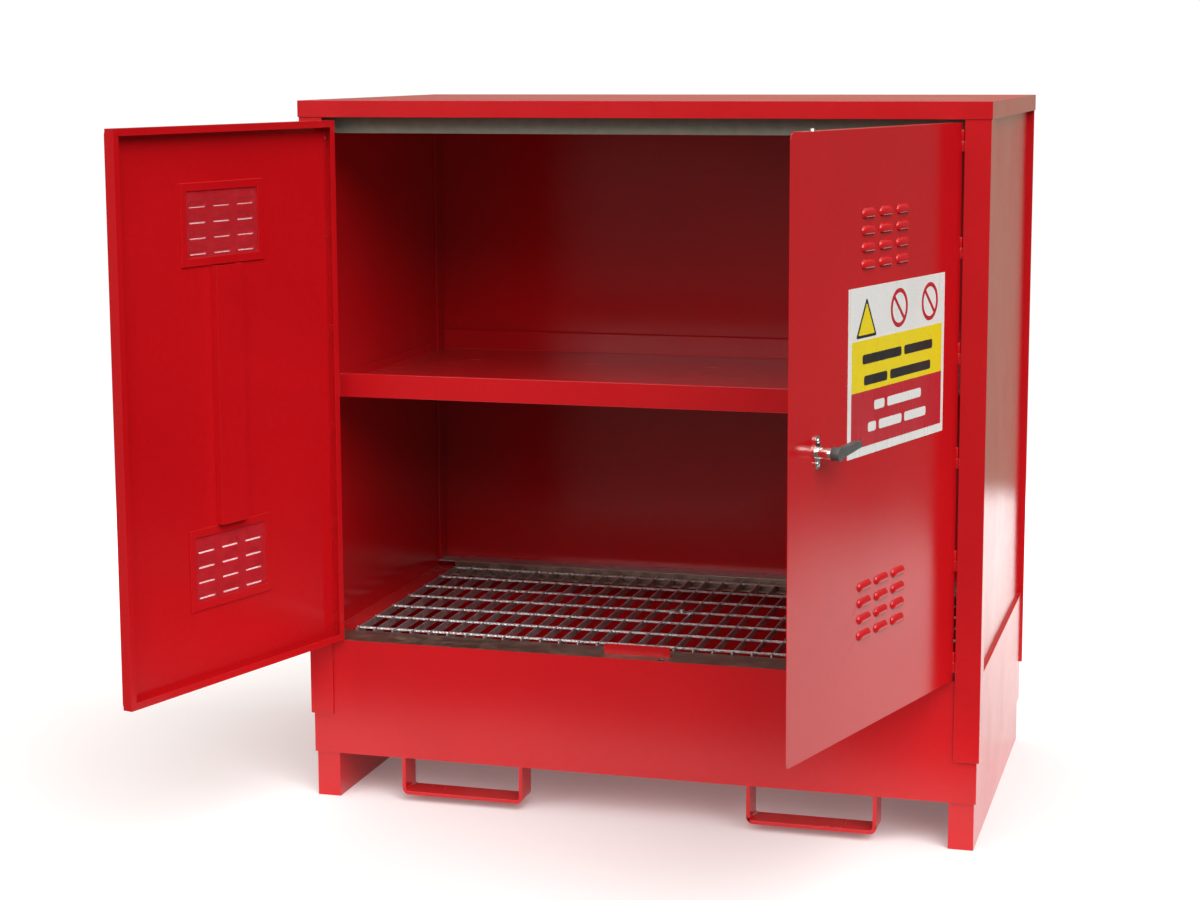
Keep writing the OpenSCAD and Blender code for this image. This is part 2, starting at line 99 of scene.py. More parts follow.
class Shader:
    """A node material with short calls for the nodes that it needs."""

    def __init__(self, name):
        self.material = bpy.data.materials.new(name)
        self.material.use_nodes = True
        self.tree = self.material.node_tree
        self.tree.nodes.clear()
        self.bsdf = self.add("BsdfPrincipled")
        self.add("OutputMaterial", {"Surface": self.bsdf.outputs[0]})
        self.object_coords = self.add("TexCoord").outputs["Object"]

    def add(self, kind, inputs=None, **settings):
        return add_node(self.tree, kind, inputs, **settings)

    def set(self, **inputs):
        for key, value in inputs.items():
            plug(self.tree, self.bsdf.inputs[key.replace("_", " ")], value)

    def math(self, operation, a, b):
        return self.add("Math", {0: a, 1: b}, operation=operation).outputs[0]

    def move(self, x, y, z):
        """Object coordinates moved aside, so that two materials don't share one pattern."""
        return self.add("Mapping", {"Location": (x, y, z), "Vector": self.object_coords}).outputs[0]

    def stretch(self, x, y, z, coords=None, turn=(0, 0, 0)):
        """Coordinates turned and scaled: a small scale draws a pattern out along that axis."""
        node = self.add("Mapping", {"Scale": (x, y, z), "Rotation": turn,
                                    "Vector": coords or self.object_coords})
        return node.outputs[0]

    def noise(self, scale, detail=2.0, roughness=0.5, coords=None):
        node = self.add("TexNoise", {"Scale": scale, "Detail": detail, "Roughness": roughness,
                                     "Vector": coords or self.object_coords})
        return node.outputs[0]

    def fit(self, value, low, high, to_low=0.0, to_high=1.0):
        """Maps low..high to to_low..to_high and holds the value outside of that."""
        node = self.add("MapRange", {"Value": value, "From Min": low, "From Max": high,
                                     "To Min": to_low, "To Max": to_high})
        return node.outputs[0]

    def mix(self, share, a, b):
        """Colour a where share is 0 and colour b where it is 1."""
        return self.add("Mix", {0: share, 6: a, 7: b}, data_type="RGBA").outputs[2]

    def bump(self, height, distance, below=None):
        """A bumpy normal, on top of the bumps in below."""
        inputs = {"Height": height, "Distance": distance}
        if below:
            inputs["Normal"] = below
        return self.add("Bump", inputs).outputs[0]

    def edges(self, radius, low=0.03, high=0.3):
        """1 along the edges of the mesh, 0 on its faces."""
        rounded = self.add("Bevel", {"Radius": radius}, samples=4).outputs[0]
        straight = self.add("NewGeometry").outputs["Normal"]
        dot = self.add("VectorMath", {0: rounded, 1: straight}, operation="DOT_PRODUCT")
        return self.fit(self.math("SUBTRACT", 1.0, dot.outputs["Value"]), low, high)

    def upward(self, low=0.75, high=1.0):
        """1 on faces that look up."""
        normal = self.add("NewGeometry").outputs["Normal"]
        return self.fit(self.add("SeparateXYZ", {0: normal}).outputs[2], low, high)


def rgba(r, g, b):
    return (r, g, b, 1.0)


def red_enamel(name, seed, wear, scuff, peel=0.35, wave=1.0, dusty=0.07, painted_light_gain=1.0):
    """Sprayed gloss enamel on sheet steel: slow colour drift, orange peel, faint
    waviness of the sheet, hairline scratches, dust on top, a painted highlight and chips at the edges."""
    s = Shader(name)
    at = s.move(seed * 1.7, seed * 0.9, seed * 2.3)
    drift = s.noise(2.1, 3.0, 0.55, at)
    # painted light: the base red is multiplied by a gain, and above 1 this makes a lighter copy of the same enamel
    colour = s.mix(s.fit(drift, 0.3, 0.7), rgba(0.49 * painted_light_gain, 0.0050, 0.0085),
                   rgba(0.55 * painted_light_gain, 0.0072, 0.0110))
    mottle = s.noise(90.0, 2.0, 0.6, at)
    colour = s.mix(s.fit(mottle, 0.35, 0.75, 0.0, 0.16), colour, rgba(0.40, 0.0035, 0.006))
    # hairlines: very long thin noise cells, in two directions
    lines = []
    for turn, scale in (((0.2, 0.5, 0.3), 238.0), ((1.1, 0.2, 0.9), 189.0)):
        thin = s.stretch(1.0, 0.05, 1.0, at, turn)
        lines.append(s.fit(s.noise(scale, 1.0, 0.4, thin), 0.74, 0.80))
    patches = s.fit(s.noise(3.7, 2.0, 0.6, at), 0.45, 0.7, 0.0, scuff)
    hairs = s.math("MULTIPLY", s.math("MAXIMUM", lines[0], lines[1]), patches)
    colour = s.mix(s.math("MULTIPLY", hairs, 0.3), colour, rgba(0.66, 0.11, 0.10))
    # dust that settles on faces looking up
    film = s.fit(s.noise(5.0, 5.0, 0.6, at), 0.3, 0.8, 0.02, dusty)
    dust = s.math("MULTIPLY", s.upward(), film)
    colour = s.mix(dust, colour, rgba(0.50, 0.36, 0.30))
    # painted highlight: lighter red along the edges; the small dark chips there are wear
    edge = s.edges(0.0016)
    chips = s.fit(s.noise(160.0, 3.0, 0.65, at), 0.56, 0.66)
    painted_edge_highlight = s.math("MULTIPLY", edge, 0.45 * wear)
    colour = s.mix(painted_edge_highlight, colour, rgba(0.72, 0.085, 0.075))
    worn = s.math("MULTIPLY", s.math("MULTIPLY", edge, chips), wear)
    colour = s.mix(worn, colour, rgba(0.20, 0.045, 0.035))
    rough = s.fit(s.noise(6.0, 3.0, 0.6, at), 0.25, 0.75, 0.12, 0.19)
    rough = s.math("ADD", rough, s.math("MULTIPLY", hairs, 0.2))
    rough = s.math("ADD", rough, s.math("MULTIPLY", worn, 0.3))
    rough = s.math("ADD", rough, s.math("MULTIPLY", dust, 2.4))
    sheet = s.bump(s.noise(2.6, 1.0, 0.4, at), 0.0022 * wave)
    skin = s.bump(s.noise(420.0, 2.0, 0.5, at), 0.00012 * peel / 0.35, sheet)
    s.set(Base_Color=colour, Roughness=rough, Normal=skin, IOR=1.5)
    return s.material


def galvanised(name, seed, dark=0.0, scale=95.0, tint=(1.0, 1.0, 1.0)):
    """Hot-dip zinc: spangles of slightly different grey, dull pale bloom, and a painted highlight along the edges.
    """
    s = Shader(name)
    at = s.move(seed, seed * 1.3, seed * 0.7)
    cells = s.add("TexVoronoi", {"Scale": scale, "Vector": at})
    tone = s.add("SeparateXYZ", {0: cells.outputs["Color"]}).outputs[0]
    light, deep = 0.62 * (1 - dark), 0.40 * (1 - dark)
    r, g, b = tint
    colour = s.mix(tone, rgba(deep * r, deep * 1.02 * g, deep * 1.03 * b),
                   rgba(light * r, light * g, light * 0.985 * b))
    bloom = s.fit(s.noise(22.0, 4.0, 0.65, at), 0.45, 0.75, 0.0, 0.45)
    colour = s.mix(bloom, colour, rgba(*(0.70 * (1 - dark) * part for part in tint)))
    # painted highlight: paler zinc along the edges
    edge = s.edges(0.0012)
    colour = s.mix(s.math("MULTIPLY", edge, 0.5), colour, rgba(0.86, 0.86, 0.84))
    rough = s.math("ADD", s.fit(tone, 0.0, 1.0, 0.30, 0.46), s.math("MULTIPLY", bloom, 0.35))
    grain = s.bump(s.noise(300.0, 3.0, 0.6, at), 0.00018)
    s.set(Base_Color=colour, Roughness=rough, Normal=grain, Metallic=0.82)
    return s.material


def plated(name, colour_a, colour_b, rough_a, rough_b, stains=0.1):
    """Plated steel: drawn lines along the part and cloudy stains."""
    s = Shader(name)
    drawn = s.noise(260.0, 2.0, 0.6, s.stretch(1.0, 1.0, 0.06))
    cloud = s.noise(38.0, 4.0, 0.6)
    colour = s.mix(s.fit(cloud, 0.3, 0.7), rgba(*colour_a), rgba(*colour_b))
    spots = s.fit(s.noise(140.0, 3.0, 0.7), 0.62, 0.74, 0.0, stains)
    colour = s.mix(spots, colour, rgba(0.16, 0.12, 0.08))
    rough = s.math("ADD", s.fit(drawn, 0.3, 0.7, rough_a, rough_b), s.math("MULTIPLY", spots, 0.5))
    fine = s.bump(drawn, 0.00005)
    s.set(Base_Color=colour, Roughness=rough, Normal=fine, Metallic=1.0)
    return s.material


def satin_paint(name, dark, light, rough):
    """Satin paint or moulded strip: fine grain, cloudy tone, paler rubbed edges."""
    s = Shader(name)
    cloud = s.noise(46.0, 4.0, 0.6)
    colour = s.mix(s.fit(cloud, 0.3, 0.7), rgba(*dark), rgba(*light))
    edge = s.edges(0.0014)
    rubbed = s.math("MULTIPLY", edge, s.fit(s.noise(120.0, 3.0, 0.6), 0.4, 0.6, 0.1, 0.35))
    colour = s.mix(rubbed, colour, rgba(0.36, 0.36, 0.33))
    roughness = s.fit(s.noise(75.0, 3.0, 0.6), 0.3, 0.7, rough - 0.07, rough + 0.09)
    fine = s.bump(s.noise(1140.0, 2.0, 0.5), 0.00012)
    s.set(Base_Color=colour, Roughness=roughness, Normal=fine)
    return s.material


def print_ink(name, ink, light):
    """Printed vinyl: ink with slight mottle, faint wipe marks and a calendered surface."""
    s = Shader(name)
    mottle = s.noise(210.0, 3.0, 0.6)
    colour = s.mix(s.fit(mottle, 0.3, 0.75), rgba(*ink), rgba(*light))
    grime = s.fit(s.noise(9.0, 4.0, 0.6), 0.5, 0.85, 0.0, 0.10)
    colour = s.mix(grime, colour, rgba(0.22, 0.18, 0.14))
    wipe = s.noise(30.0, 2.0, 0.5, s.stretch(1.0, 1.0, 0.12))
    roughness = s.fit(wipe, 0.3, 0.7, 0.22, 0.38)
    fine = s.bump(s.noise(600.0, 1.0, 0.5), 0.00004)
    s.set(Base_Color=colour, Roughness=roughness, Normal=fine)
    return s.material


def gauze_wire(name):
    """Fine wire that is painted over: cloudy red, dusty patches and a grainy surface."""
    s = Shader(name)
    cloud = s.fit(s.noise(30.0, 3.0, 0.6), 0.3, 0.7)
    colour = s.mix(cloud, rgba(0.56, 0.014, 0.026), rgba(0.66, 0.026, 0.042))
    dust = s.fit(s.noise(70.0, 4.0, 0.6), 0.5, 0.8, 0.0, 0.2)
    colour = s.mix(dust, colour, rgba(0.50, 0.12, 0.10))
    roughness = s.fit(dust, 0.0, 0.2, 0.42, 0.7)
    fine = s.bump(s.noise(900.0, 2.0, 0.5), 0.00004)
    s.set(Base_Color=colour, Roughness=roughness, Normal=fine, Specular_IOR_Level=0.2)
    return s.material


RED_BODY = red_enamel("red_enamel_body", 0.0, wear=0.3, scuff=0.25, wave=0.6)
# painted light: the doors' enamel is a 10 % lighter copy of the body's, standing in for light that falls on the
# doors
RED_DOOR = red_enamel("red_enamel_doors", 3.0, wear=0.35, scuff=0.22, painted_light_gain=1.1)
RED_BASE = red_enamel("red_enamel_base", 6.0, wear=0.6, scuff=0.55)
RED_SHELF = red_enamel("red_enamel_shelf", 9.0, wear=0.4, scuff=0.12, wave=0.25, dusty=0.04)
RED_WELD = red_enamel("red_enamel_welds", 12.0, wear=0.5, scuff=0.1, peel=0.6)
ZINC_GRATE = galvanised("galvanised_grating", 1.0)
# painted light: the rods' zinc is a 30 % lighter copy of the grating's zinc
ZINC_ROD = galvanised("galvanised_rods", 4.0, dark=-0.3, scale=150.0)
# painted shade: the ledge's zinc is made half as bright and browner, standing in for the shade that the ledge lies
# in
SHADED_ZINC_LEDGE = galvanised("zinc_ledge_painted_shade", 7.0, dark=0.5, scale=60.0,
                        tint=(1.3, 0.95, 0.75))
PIN_STEEL = plated("zinc_plated_steel", (0.52, 0.52, 0.50), (0.66, 0.65, 0.60), 0.26, 0.40)
CHROME = plated("polished_chrome", (0.80, 0.79, 0.75), (0.88, 0.87, 0.84), 0.07, 0.13, 0.05)
LEVER = satin_paint("lever_grey_satin", (0.055, 0.062, 0.060), (0.10, 0.11, 0.105), 0.40)
RAIL = satin_paint("rail_grey_matt", (0.19, 0.195, 0.145), (0.24, 0.24, 0.185), 0.62)
SIGN_WHITE = print_ink("sign_white", (0.80, 0.80, 0.77), (0.87, 0.87, 0.85))
SIGN_YELLOW = print_ink("sign_yellow", (0.86, 0.66, 0.004), (0.90, 0.72, 0.01))
SIGN_RED = print_ink("sign_red", (0.50, 0.010, 0.022), (0.56, 0.016, 0.03))
SIGN_BLACK = print_ink("sign_black", (0.012, 0.012, 0.012), (0.022, 0.021, 0.020))
GAUZE = gauze_wire("painted_wire_gauze")

SLOT_MATERIAL = {
    "galvanised": ZINC_GRATE, "zinc_steel": PIN_STEEL, "chrome": CHROME, "lever_grey": LEVER,
    "rail_grey": RAIL, "sign_face": SIGN_WHITE, "vent_gauze": GAUZE, "red_enamel": RED_BODY,
}
NODE_MATERIAL = {
    "sump_tank": RED_BASE, "left_runner": RED_BASE, "right_runner": RED_BASE,
    "left_fork_loops": RED_BASE, "right_fork_loops": RED_BASE, "door_stop_tab": RED_BASE,
    "shelf_tray": RED_SHELF, "front_ledge": SHADED_ZINC_LEDGE, "ledge_webs": SHADED_ZINC_LEDGE,
    "grating_seats": SHADED_ZINC_LEDGE,
}
# Nodes that get no rounded folds.
SHARP = {"escutcheon_screws", "left_vent_mesh", "right_vent_mesh", "left_hinge_pins",
         "right_hinge_pins", "grating_cross_rods"}

WELD_GAP = 0.00002
FOLD, GRATING_FOLD = 0.0009, 0.0006
FOLD_ANGLE = math.radians(40)


def node_material(name, slot):
    """A door's red sheets share one enamel; other nodes go by name, then by slot."""
    on_door = name.split("_", 1)[-1].startswith("door") or "vent_frames" in name
    if on_door and slot == "red_enamel":
        return RED_DOOR
    return NODE_MATERIAL.get(name) or SLOT_MATERIAL[slot]


slots = {part["node"]: part["material_slot"] for part in frame["record"]["subparts"]}
for name, node in NODES.items():
    node.data.materials.clear()
    node.data.materials.append(node_material(name, slots[name]))
    if name not in SHARP:
        weld = node.modifiers.new("join", "WELD")
        weld.merge_threshold = WELD_GAP
        bevel = node.modifiers.new("fold", "BEVEL")
        bevel.width = GRATING_FOLD if "grating" in name else FOLD
        bevel.segments = 2
        bevel.limit_method = "ANGLE"
        bevel.angle_limit = FOLD_ANGLE


# ---- Shared mesh code ----

def piece(name, bm, material, body, smooth=True):
    """Makes a visual piece from bm that rides on a body and belongs to a material slot."""
    mesh = bpy.data.meshes.new(name)
    bmesh.ops.recalc_face_normals(bm, faces=bm.faces[:])
    bm.to_mesh(mesh)
    bm.free()
    mesh.materials.append(material)
    for face in mesh.polygons:
        face.use_smooth = smooth
    obj = bpy.data.objects.new(name, mesh)
    bpy.context.scene.collection.objects.link(obj)
    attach(obj, body)
    return obj


def skin_rings(bm, rings):
    """Joins closed rings of points into a tube and closes its two ends."""
    made = [[bm.verts.new(point) for point in ring] for ring in rings]
    count = len(made[0])
    for near, far in zip(made, made[1:]):
        for k in range(count):
            j = (k + 1) % count
            bm.faces.new((near[k], near[j], far[j], far[k]))
    bm.faces.new(made[0][::-1])
    bm.faces.new(made[-1])


BEAD_SIDES = 8
BEAD_STEP = 0.55       # rings of a bead stand this share of its radius apart
RIPPLE, UNEVEN = 0.16, 0.07
RIPPLE_TURN = 1.9      # radians of ripple from one ring to the next
END_SHARE = 0.5        # how thick a bead still is at its two ends


def bead(bm, start, end, radius, rng):
    """Weld bead from start to end: a tube that swells with each ripple of the weld."""
    start, end = Vector(start), Vector(end)
    along = end - start
    steps = max(5, int(along.length / (radius * BEAD_STEP)))
    out = along.normalized().orthogonal().normalized()
    side = along.normalized().cross(out)
    rings = []
    for i in range(steps + 1):
        swell = 1.0 - RIPPLE + RIPPLE * math.sin(i * RIPPLE_TURN) + rng.uniform(-UNEVEN, UNEVEN)
        if i in (0, steps):
            swell *= END_SHARE
        centre = start + along * (i / steps)
        angles = (2 * math.pi * k / BEAD_SIDES for k in range(BEAD_SIDES))
        rings.append([centre + (out * math.cos(a) + side * math.sin(a)) * radius * swell
                      for a in angles])
    skin_rings(bm, rings)


# ---- Grating: twisted square rods across the bars ----

rods_lo, rods_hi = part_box("grating_cross_rods")
ROD_R = (rods_hi.z - rods_lo.z) / 2
CORNER_R = ROD_R * 0.97      # a rod's corners stay just inside the round rod that it replaces
ROD_PITCH = 0.103
RING_STEP = 0.003            # from one ring of points to the next, along a rod
TWIST = 0.031                # length of one whole turn
ROW_TURN = 9                 # a rod starts turned by this many radians per metre of its place
CHAMFER = 0.16               # half the angle that a corner's flat takes up

rod_mesh = bmesh.new()
rod_length = rods_hi.x - rods_lo.x
rod_steps = int(rod_length / RING_STEP)
row = rods_lo.y + ROD_R
while row < rods_hi.y:
    rings = []
    for i in range(rod_steps + 1):
        x = rods_lo.x + rod_length * i / rod_steps
        turn = 2 * math.pi * (x - rods_lo.x) / TWIST + row * ROW_TURN
        ring = []
        for corner in range(4):
            for chamfer in (-CHAMFER, CHAMFER):
                a = turn + corner * math.pi / 2 + chamfer
                ring.append(Vector((x, row + CORNER_R * math.cos(a),
                                    rods_lo.z + ROD_R + CORNER_R * math.sin(a))))
        rings.append(ring)
    skin_rings(rod_mesh, rings)
    row += ROD_PITCH
twisted_rods = piece("twisted_cross_rods", rod_mesh, ZINC_ROD, "grating", smooth=False)
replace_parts(twisted_rods, "grating_cross_rods")


# ---- Doors: where closed-door places stand when the doors are open ----

class Door:
    """Turns places on a closed door, s from its hinge axis and y, z, into the row frame."""

    def __init__(self, joint, sign):
        self.hinge = Vector(joint["pos_m"])
        self.angle = sign * math.radians(-joint["range_deg"][0])
        self.sign = sign

    def at(self, s, y, z):
        flat = Vector((-self.sign * s, y, 0.0))
        flat.rotate(Matrix.Rotation(self.angle, 3, "Z"))
        return Vector((self.hinge.x + flat.x, self.hinge.y + flat.y, z))

    def span(self, node):
        """Lowest and highest (s, y, z) of a CAD node that rides on this door."""
        back = Matrix.Rotation(-self.angle, 3, "Z")
        points = []
        for vertex in NODES[node].data.vertices:
            flat = back @ (vertex.co - Vector((self.hinge.x, self.hinge.y, 0.0)))
            points.append((-self.sign * flat.x, flat.y, vertex.co.z))
        lowest = [min(point[k] for point in points) for k in range(3)]
        highest = [max(point[k] for point in points) for k in range(3)]
        return lowest, highest


RIGHT = Door(JOINTS["right_door_hinge"], 1)
LEFT = Door(JOINTS["left_door_hinge"], -1)


# ---- Vents: crossed wires in place of the plain sheets behind the louvres ----

WIRE_R, WIRE_PITCH = 0.0003, 0.0016


def wire(bm, door, start, end):
    """Square wire on its corner, between two (s, y, z) places that differ in s or in z."""
    level = start[2] == end[2]
    rings = []
    for s, y, z in (start, end):
        ring = []
        for across, deep in ((1, 0), (0, 1), (-1, 0), (0, -1)):
            side, up = (0.0, across) if level else (across, 0.0)
            ring.append(door.at(s + side * WIRE_R, y + deep * WIRE_R, z + up * WIRE_R))
        rings.append(ring)
    skin_rings(bm, rings)


def wire_gauze(name, door, body):
    """The door's two gauzes: upright wires on the outer side, level ones behind them."""
    sheet = body.split("_")[0] + "_vent_mesh"
    (s0, y0, _), (s1, y1, _) = door.span(sheet)
    edges = sorted({round(vertex.co.z, 5) for vertex in NODES[sheet].data.vertices})
    bm = bmesh.new()
    for z0, z1 in (edges[:2], edges[2:]):
        for k in range(int((s1 - s0) / WIRE_PITCH)):
            s = s0 + (k + 0.5) * WIRE_PITCH
            wire(bm, door, (s, y0 + WIRE_R, z0), (s, y0 + WIRE_R, z1))
        for k in range(int((z1 - z0) / WIRE_PITCH)):
            z = z0 + (k + 0.5) * WIRE_PITCH
            wire(bm, door, (s0, y1 - WIRE_R, z), (s1, y1 - WIRE_R, z))
    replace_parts(piece(name, bm, GAUZE, body, smooth=False), sheet)


wire_gauze("left_wire_gauze", LEFT, "left_door")
wire_gauze("right_wire_gauze", RIGHT, "right_door")


# ---- Sign: plain coloured fields and shapes, with bars where lettering would be ----

def plate(bm, door, outline, y_face, thick):
    """Flat printed field: an outline of (s, z) points, its back on the face at y_face."""
    front = [bm.verts.new(door.at(s, y_face - thick, z)) for s, z in outline]
    back = [bm.verts.new(door.at(s, y_face, z)) for s, z in outline]
    bm.faces.new(front)
    bm.faces.new(back[::-1])
    for k in range(len(outline)):
        j = (k + 1) % len(outline)
        bm.faces.new((front[k], back[k], back[j], front[j]))


def rounded(s0, s1, z0, z1, r, steps=5):
    """Outline of a box with round corners."""
    points = []
    corners = ((s1 - r, z1 - r), (s0 + r, z1 - r), (s0 + r, z0 + r), (s1 - r, z0 + r))
    for first, (cs, cz) in enumerate(corners):
        for k in range(steps + 1):
            a = (first + k / steps) * math.pi / 2
            points.append((cs + r * math.cos(a), cz + r * math.sin(a)))
    return points


def ring_band(bm, door, s, z, outer, inner, y_face, thick, steps=56):
    """Flat printed ring round (s, z), its back on the face at y_face."""
    y_front = y_face - thick
    angles = [2 * math.pi * k / steps for k in range(steps)]
    loops = []
    for radius, y in ((outer, y_face), (outer, y_front), (inner, y_front), (inner, y_face)):
        loops.append([bm.verts.new(door.at(s + radius * math.cos(a), y, z + radius * math.sin(a)))
                      for a in angles])
    for n in range(4):
        near, far = loops[n], loops[(n + 1) % 4]
        for k in range(steps):
            j = (k + 1) % steps
            bm.faces.new((near[k], near[j], far[j], far[k]))


(_, sign_y0, _), (sign_s1, _, sign_z1) = RIGHT.span("warning_sign")
INK = 0.00022


def sign_field(name, outlines, material, lift=1):
    """Printed fields on the sign, in its first layer of ink or, with lift 2, on top of that."""
    bm = bmesh.new()
    for outline in outlines:
        plate(bm, RIGHT, outline, sign_y0 - INK * (lift - 1), INK)
    piece(name, bm, material, "right_door", smooth=False)


def block(u0, u1, drop0, drop1, r=1.5):
    """Outline of a field given in mm from the sign's left edge and from its top."""
    return rounded(sign_s1 - u1 * MM, sign_s1 - u0 * MM,
                   sign_z1 - drop1 * MM, sign_z1 - drop0 * MM, r * MM)


def triangle(u, drop, side, shrink, r):
    """Rounded triangle standing on its base, in mm, drop measured to the middle of its circle."""
    big = side / math.sqrt(3) - shrink * 2
    points = []
    for corner in range(3):
        a = math.pi / 2 + corner * 2 * math.pi / 3
        cs, cz = (big - 2 * r) * math.cos(a), (big - 2 * r) * math.sin(a)
        for k in range(7):
            b = a - math.pi / 3 + k / 6 * 2 * math.pi / 3
            points.append((sign_s1 - (u + cs + r * math.cos(b)) * MM,
                           sign_z1 - (drop - cz - r * math.sin(b)) * MM))
    return points


sign_field("sign_yellow_field", [block(13, 389, 94, 185)], SIGN_YELLOW)
sign_field("sign_red_field", [block(13, 389, 185, 284)], SIGN_RED)
sign_field("sign_triangle_border", [triangle(70, 66, 82, 0, 3)], SIGN_BLACK)
sign_field("sign_triangle_fill", [triangle(70, 66, 82, 5, 1.5)], SIGN_YELLOW, 2)

RING_US, RING_DROP = (203, 334), 49
RING_OUTER, RING_INNER = 0.0355, 0.0275
BAR_L, BAR_W = 0.029, 0.0035       # half the length and half the width of a ring's cross bar
BAR_TURN = math.radians(45)
rings_mesh = bmesh.new()
for u in RING_US:
    ring_s, ring_z = sign_s1 - u * MM, sign_z1 - RING_DROP * MM
    ring_band(rings_mesh, RIGHT, ring_s, ring_z, RING_OUTER, RING_INNER, sign_y0, INK)
    bar = []
    for along, across in ((-BAR_L, -BAR_W), (BAR_L, -BAR_W), (BAR_L, BAR_W), (-BAR_L, BAR_W)):
        bar.append((ring_s + along * math.cos(BAR_TURN) - across * math.sin(BAR_TURN),
                    ring_z + along * math.sin(BAR_TURN) + across * math.cos(BAR_TURN)))
    plate(rings_mesh, RIGHT, bar, sign_y0, INK)
piece("sign_rings", rings_mesh, SIGN_RED, "right_door", smooth=False)

sign_field("sign_dark_bars", [block(55, 214, 120, 137, 5), block(226, 347, 120, 137, 5),
                              block(62, 156, 158, 175, 5), block(168, 340, 158, 175, 5)], SIGN_BLACK, 2)
sign_field("sign_white_bars", [block(104, 146, 206, 223, 5), block(158, 300, 206, 223, 5),
                               block(80, 112, 243, 260, 5), block(124, 218, 243, 260, 5),
                               block(230, 322, 243, 260, 5)], SIGN_WHITE, 2)


# ---- Weld beads ----

rng = random.Random(41)
HALF_H = 0.02                                          # height of a hinge's frame half
NEAR = 0.0004                                          # two heights this close are the same
POST_BEADS = ((-0.019, -0.011), (-0.008, -0.001))      # heights from the top of the frame half
DOOR_BEADS = ((0.002, 0.009), (0.012, 0.019))
POST_BEAD_R, DOOR_BEAD_R = 0.0011, 0.0012
POST_BEAD_AT = (0.0007, 0.0006)                        # x and y from the right post's corner
DOOR_BEAD_AT = (0.0022, 0.0185)                        # s and y on the door


def hinge_welds(side, door):
    """Two short beads beside each half of each hinge: on the post and on the door's edge."""
    post_bm, door_bm = bmesh.new(), bmesh.new()
    sockets = sorted({round(v.co.z, 4) for v in NODES[side + "_hinge_sockets"].data.vertices})
    tops = [z for z in sockets if any(abs(z - other - HALF_H) < NEAR for other in sockets)]
    x, y = POST_LO.x + POST_BEAD_AT[0], POST_LO.y + POST_BEAD_AT[1]
    if side == "left":
        x = 2 * MID.x - x
    for z in tops:
        for low, high in POST_BEADS:
            bead(post_bm, (x, y, z + low), (x, y, z + high), POST_BEAD_R, rng)
        for low, high in DOOR_BEADS:
            bead(door_bm, door.at(*DOOR_BEAD_AT, z + low), door.at(*DOOR_BEAD_AT, z + high),
                 DOOR_BEAD_R, rng)
    piece(side + "_post_hinge_welds", post_bm, RED_WELD, "cabinet")
    piece(side + "_door_hinge_welds", door_bm, RED_WELD, side + "_door")


hinge_welds("right", RIGHT)
hinge_welds("left", LEFT)

FLOOR_BEAD_R, TOE_BEAD_R, FRONT_BEAD_R = 0.0022, 0.0012, 0.0016
RUNNER_BEADS, RUNNER_BEAD_L = 5, 0.07
RUNNER_BEAD_MARGIN = 0.03
LOOP_BEAD_L, LOOP_BEAD_MARGIN = 0.052, 0.004
TOE_HALF = 0.004
TOE_IN, TOE_UP = 0.001, 0.0008                         # from the loop's front and the tank's floor
FRONT_BEADS = ((0.19, 0.225), (0.295, 0.33))           # heights of the beads on a front post
FRONT_PROUD = 0.0006

base_bm = bmesh.new()
tank_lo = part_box("sump_tank")[0]
for side in ("left", "right"):
    low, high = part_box(side + "_runner")
    first = low.y + RUNNER_BEAD_MARGIN
    last = high.y - RUNNER_BEAD_MARGIN - RUNNER_BEAD_L
    for k in range(RUNNER_BEADS):
        y = first + k * (last - first) / (RUNNER_BEADS - 1)
        for x in (low.x, high.x):
            bead(base_bm, (x, y, tank_lo.z), (x, y + RUNNER_BEAD_L, tank_lo.z), FLOOR_BEAD_R, rng)
    low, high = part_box(side + "_fork_loops")
    for x in (low.x, high.x):
        for y in (low.y + LOOP_BEAD_MARGIN, high.y - LOOP_BEAD_MARGIN - LOOP_BEAD_L):
            bead(base_bm, (x, y, tank_lo.z), (x, y + LOOP_BEAD_L, tank_lo.z), FLOOR_BEAD_R, rng)
    y, z = low.y + TOE_IN, tank_lo.z + TOE_UP
    for x in (low.x + TOE_HALF, high.x - TOE_HALF):
        bead(base_bm, (x - TOE_HALF, y, z), (x + TOE_HALF, y, z), TOE_BEAD_R, rng)
    low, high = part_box(side + "_front_post")
    x = low.x if side == "right" else high.x
    y = tank_lo.y - FRONT_PROUD
    for z0, z1 in FRONT_BEADS:
        bead(base_bm, (x, y, z0), (x, y, z1), FRONT_BEAD_R, rng)
piece("base_welds", base_bm, RED_WELD, "cabinet")


# ---- Camera ----

def look(yaw, pitch, roll):
    """Rotation of a camera that looks along +Y, turned left by yaw, down by pitch, then rolled."""
    ahead = Vector((-math.sin(yaw) * math.cos(pitch), math.cos(yaw) * math.cos(pitch),
                    -math.sin(pitch)))
    across = Vector((math.cos(yaw), math.sin(yaw), 0.0))
    above = across.cross(ahead)
    right = across * math.cos(roll) + above * math.sin(roll)
    up = above * math.cos(roll) - across * math.sin(roll)
    return Matrix((right, up, -ahead)).transposed()


# The photo's viewpoint: its place relative to MID, then yaw, pitch and roll in radians.
CAMERA_AT = (1.20626, -4.46450, 1.54056)
CAMERA_LOOK = (0.27735, 0.14368, -0.00358)
camera = bpy.data.objects.new("camera", bpy.data.cameras.new("camera"))
bpy.context.scene.collection.objects.link(camera)
camera.data.lens = 70.563
camera.data.sensor_width = 36.0
camera.data.sensor_fit = "HORIZONTAL"
camera.data.shift_y = -0.0417
camera.data.clip_end = 200.0
camera.location = MID + Vector(CAMERA_AT)
camera.rotation_mode = "QUATERNION"
camera.rotation_quaternion = look(*CAMERA_LOOK).to_quaternion()
bpy.context.scene.camera = camera


# ---- Studio: white backdrop, a bright floor patch and a dimmer room that the gloss reflects ----

